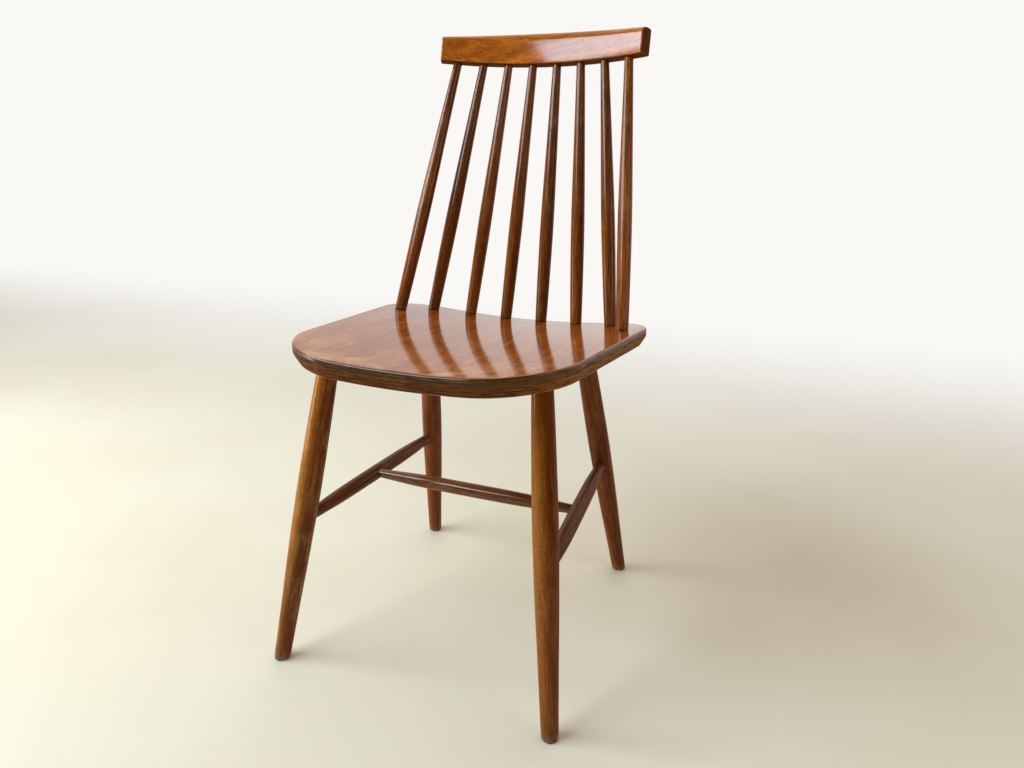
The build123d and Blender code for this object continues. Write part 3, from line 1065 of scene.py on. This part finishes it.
# Painted shade and old polish: faces that look down are painted dark and lose their clear coat
under = remap(tree, split(tree, coordinate(tree, "Normal"))["Z"], -0.80, -0.30, 0.9, 0.0)
repaint(tree, under, CREST_UNDERSIDE_SHADE)
socket = tree.nodes["Principled BSDF"].inputs["Coat Weight"]
polished = maths(tree, "SUBTRACT", 1.0, under)
tree.links.new(maths(tree, "MULTIPLY", polished, socket.links[0].from_socket), socket)
dress(crest, finish)
print("crest rail finished")

# %% [markdown]
# ## The seat's faces and edge
# The face veneer is redder than the rest and its pores are long and dark. The core's edge shows
# alternate layers: where the grain points at the eye the end grain drinks stain and goes dark, and
# where it runs along the edge it stays lighter. So a ply's colour follows the angle between its
# own grain and the surface, and neighbouring plies take opposite directions.

# %% Seat face
FACE_WOOD = {
    "dark": (0.140, 0.024, 0.002),
    "mid": (0.350, 0.068, 0.004),
    "light": (0.490, 0.118, 0.010),
    "worn": (0.56, 0.21, 0.04),
}
THIN_POLISH = (0.62, 0.28, 0.07)
SCRATCHED = (0.74, 0.46, 0.26)

front_to_back = seat_place @ Euler((math.radians(-90), 0, 0)).to_matrix().to_4x4()
face, tree, vector = lacquered(
    "seat_face_wood",
    front_to_back,
    seed=0.9,
    wear=0.4,
    ring_width=0.016,
    rings=0.4,
    fibres=0.35,
    coat=0.85,
    gloss=0.115,
    **FACE_WOOD,
)
marks = effect(tree, use, {"Vector": vector})
near_front = remap(tree, split(tree, vector)["Z"], -0.205, -0.06, 0.7, 0.0)
repaint(tree, maths(tree, "MULTIPLY", near_front, marks["Smudge"]), THIN_POLISH)
repaint(tree, maths(tree, "MULTIPLY", marks["Scratches"], 0.4), SCRATCHED)
dress(plies["seat_face"], face)
dress(plies["seat_underside"], face)
print("seat faces finished")


# %% Seat plies
PLY_DARK = (0.034, 0.008, 0.003)
PLY_LIGHT = (0.235, 0.076, 0.017)
PLY_PLUS_X_TONE = (0.430, 0.190, 0.042)
PLY_END_GRAIN = (0.040, 0.016, 0.009)
PLY_WORN = (0.25, 0.095, 0.022)
FIBRE_SQUEEZE = 28.0


def ply_edge(name, grain_axis, seed, share, coat):
    """A ply's edge: fine layers of fibre along it, darker where the grain is cut across."""
    material, tree, shader = new_material(name)
    flat = own_place(tree, seat_place)
    parts = split(tree, flat)
    across = maths(tree, "MULTIPLY", parts["X"], parts["X"])
    hollow = maths(tree, "MULTIPLY", across, 0.5 / SEAT_BEND_RADIUS)
    depth = maths(tree, "SUBTRACT", parts["Z"], hollow)
    depth = maths(tree, "MULTIPLY", depth, FIBRE_SQUEEZE)
    layered = put(tree, "ShaderNodeCombineXYZ", {0: parts["X"], 1: parts["Y"], 2: depth})
    fibre = noise(tree, layered.outputs[0], 36.0 + 5.0 * seed, 5.0, 0.65)
    fibre = remap(tree, fibre, 0.40, 0.61, eased=False)
    marks = effect(tree, use, {"Vector": flat})
    normal = split(tree, coordinate(tree, "Normal"))
    end_grain = remap(tree, maths(tree, "ABSOLUTE", normal[grain_axis]), 0.35, 0.95)
    # The edge turns lighter and more golden where it faces +X
    plus_x_side = remap(tree, normal["X"], 0.25, 0.95, 0.0, 0.6)
    colour = blend(tree, fibre, tone(PLY_DARK, share), tone(PLY_LIGHT, share))
    tree.links.new(colour, shader.inputs["Base Color"])
    repaint(tree, maths(tree, "MULTIPLY", end_grain, 0.45), PLY_END_GRAIN)
    repaint(tree, maths(tree, "MULTIPLY", plus_x_side, fibre), tone(PLY_PLUS_X_TONE, share))
    repaint(tree, maths(tree, "MULTIPLY", marks["Patches"], 0.2), PLY_WORN)
    roughness = remap(tree, marks["Smudge"], 0, 1, 0.42, 0.60)
    tree.links.new(roughness, shader.inputs["Roughness"])
    shader.inputs["Specular IOR Level"].default_value = 0.0
    shader.inputs["Coat Weight"].default_value = coat
    shader.inputs["Coat Roughness"].default_value = 0.2
    emboss(tree, fibre, 0.35)
    return material


def edge_coat(number):
    """Lacquer lies thick near the face, thinner down the edge, and hardly at all on the bevel."""
    if number <= 2:
        return 0.7
    if number <= 5:
        return 0.22
    return 0.08


for number in range(1, CORE_PLIES + 1):
    stain = 0.5 + 0.55 * min(1, number / 6)
    material = ply_edge(
        f"seat_ply_{number}_wood",
        grain_axis=number % 2,
        seed=0.6 + 0.23 * number,
        share=stain,
        coat=edge_coat(number),
    )
    dress(plies[f"seat_ply_{number}"], material)
print("seat edge finished")

# %% [markdown]
# ## Floor
# A studio sweep is a sheet of paper that curves from the floor up to the wall, so no line shows
# where one ends. A curved sheet would get in the way of views from behind. So the floor is flat,
# and far behind the chair it fades to the white of the room for the camera only. From beneath it
# is clear, so that the underside of the chair can be looked at.

# %% Floor
ROOM_WHITE = (1.0, 0.985, 0.96, 1)
ROOM_LEVEL = 0.95
FADE_FROM, FADE_TO = 0.35, 2.1
FLOOR_DIM = (0.68, 0.58, 0.42)
FLOOR_PALE = (0.73, 0.64, 0.48)

bpy.ops.object.select_all(action="DESELECT")
bpy.ops.mesh.primitive_plane_add(size=14)
floor = bpy.context.object
floor.name = "floor"
material, tree, shader = new_material("floor_paint")
where = coordinate(tree, "Object")
cloudy = remap(tree, noise(tree, where, 1.5, 3.0), 0.3, 0.7)
tree.links.new(blend(tree, cloudy, FLOOR_DIM, FLOOR_PALE), shader.inputs["Base Color"])
shader.inputs["Roughness"].default_value = 0.55
far = remap(tree, split(tree, where)["Y"], FADE_FROM, FADE_TO)
seen = put(tree, "ShaderNodeLightPath").outputs["Is Camera Ray"]
haze = put(tree, "ShaderNodeEmission", {"Color": ROOM_WHITE, "Strength": ROOM_LEVEL})
sweep = {0: maths(tree, "MULTIPLY", far, seen), 1: shader.outputs[0], 2: haze.outputs[0]}
swept = put(tree, "ShaderNodeMixShader", sweep).outputs[0]
beneath = put(tree, "ShaderNodeNewGeometry").outputs["Backfacing"]
beneath = maths(tree, "MULTIPLY", beneath, seen)
clear = put(tree, "ShaderNodeBsdfTransparent").outputs[0]
surface = put(tree, "ShaderNodeMixShader", {0: beneath, 1: swept, 2: clear}).outputs[0]
tree.links.new(surface, tree.nodes["Material Output"].inputs["Surface"])
dress(floor, material)
print("floor", list(floor.dimensions))

# %% [markdown]
# ## Light
# Most of what a glossy seat looks like is the wall that it mirrors, so the room is bright behind
# the chair and dim in front of it. The camera sees the same white on every side. A wide cool light
# stands to the front and left like a window, a small warm one near the floor warms the legs, and a
# third fills from the right.

# %% Room
BRIGHT_SIDE = Vector((-0.36, 0.93, 0))
DIM_LEVEL, BRIGHT_LEVEL = 0.10, 1.15

world = bpy.data.worlds.new("room")
bpy.context.scene.world = world
world.use_nodes = True
tree = world.node_tree
sky = tree.nodes["Background"]
heading = coordinate(tree, "Generated")
facing = vector_maths(tree, "DOT_PRODUCT", heading, BRIGHT_SIDE, out="Value")
walls = remap(tree, facing, -0.15, 0.4, DIM_LEVEL, BRIGHT_LEVEL)
seen = put(tree, "ShaderNodeLightPath").outputs["Is Camera Ray"]
level_of_room = put(tree, "ShaderNodeMix", {0: seen, 2: walls, 3: ROOM_LEVEL}, data_type="FLOAT")
sky.inputs["Color"].default_value = ROOM_WHITE
tree.links.new(level_of_room.outputs[0], sky.inputs["Strength"])


# %% Lamps
def softbox(name, at, towards, width, height, power, colour):
    """A rectangular lamp that stands at one point and shines towards another."""
    lamp = bpy.data.lights.new(name, "AREA")
    lamp.shape = "RECTANGLE"
    lamp.size, lamp.size_y = width, height
    lamp.energy = power
    lamp.color = colour
    holder = bpy.data.objects.new(name, lamp)
    bpy.context.collection.objects.link(holder)
    holder.location = at
    holder.rotation_euler = (towards - at).to_track_quat("-Z", "Y").to_euler()
    print(name, power, "watts")


MIDDLE = Vector((0, 0.1, 0.6))
LEGS = Vector((0, 0, 0.25))
softbox("window_light", Vector((-1.75, -1.25, 1.95)), MIDDLE, 2.5, 0.8, 96, (0.64, 0.84, 1.0))
softbox("low_light", Vector((-1.7, -0.75, 0.45)), LEGS, 0.6, 0.6, 10, (1.0, 0.84, 0.62))
softbox("fill_light", Vector((2.2, -0.4, 1.5)), MIDDLE, 1.2, 1.2, 9, (1.0, 0.92, 0.80))

# %% [markdown]
# ## Camera
# The camera stands at the height of the spindles and a little to the right, about a metre away,
# and looks down on the seat. From so near, the front legs look longer than the rear ones. Its
# three axes are worked out from its turn, its tilt and a slight roll.

# %% Camera
CAMERA_FROM_SEAT = Vector((0.4350, -0.9159, 0))
CAMERA_HEIGHT = 0.6831
CAMERA_YAW = math.radians(22.25)
CAMERA_PITCH = math.radians(17.60)
CAMERA_ROLL = math.radians(-0.34)
LENS, SENSOR = 26.81, 36

level_forward = Vector((-math.sin(CAMERA_YAW), math.cos(CAMERA_YAW), 0))
forward = level_forward * math.cos(CAMERA_PITCH) - Vector((0, 0, math.sin(CAMERA_PITCH)))
level_right = Vector((math.cos(CAMERA_YAW), math.sin(CAMERA_YAW), 0))
level_down = forward.cross(level_right)
right = math.cos(CAMERA_ROLL) * level_right + math.sin(CAMERA_ROLL) * level_down
down = -math.sin(CAMERA_ROLL) * level_right + math.cos(CAMERA_ROLL) * level_down
eye = bpy.data.cameras.new("camera")
eye.sensor_width = SENSOR
eye.lens = LENS
camera = bpy.data.objects.new("camera", eye)
bpy.context.collection.objects.link(camera)
axes = Matrix((right, -down, -forward)).transposed()
station = Vector((0, seat_y, CAMERA_HEIGHT)) + CAMERA_FROM_SEAT
camera.matrix_world = Matrix.Translation(station) @ axes.to_4x4()
bpy.context.scene.camera = camera
bpy.context.scene.view_settings.view_transform = "Standard"
print("camera", station)
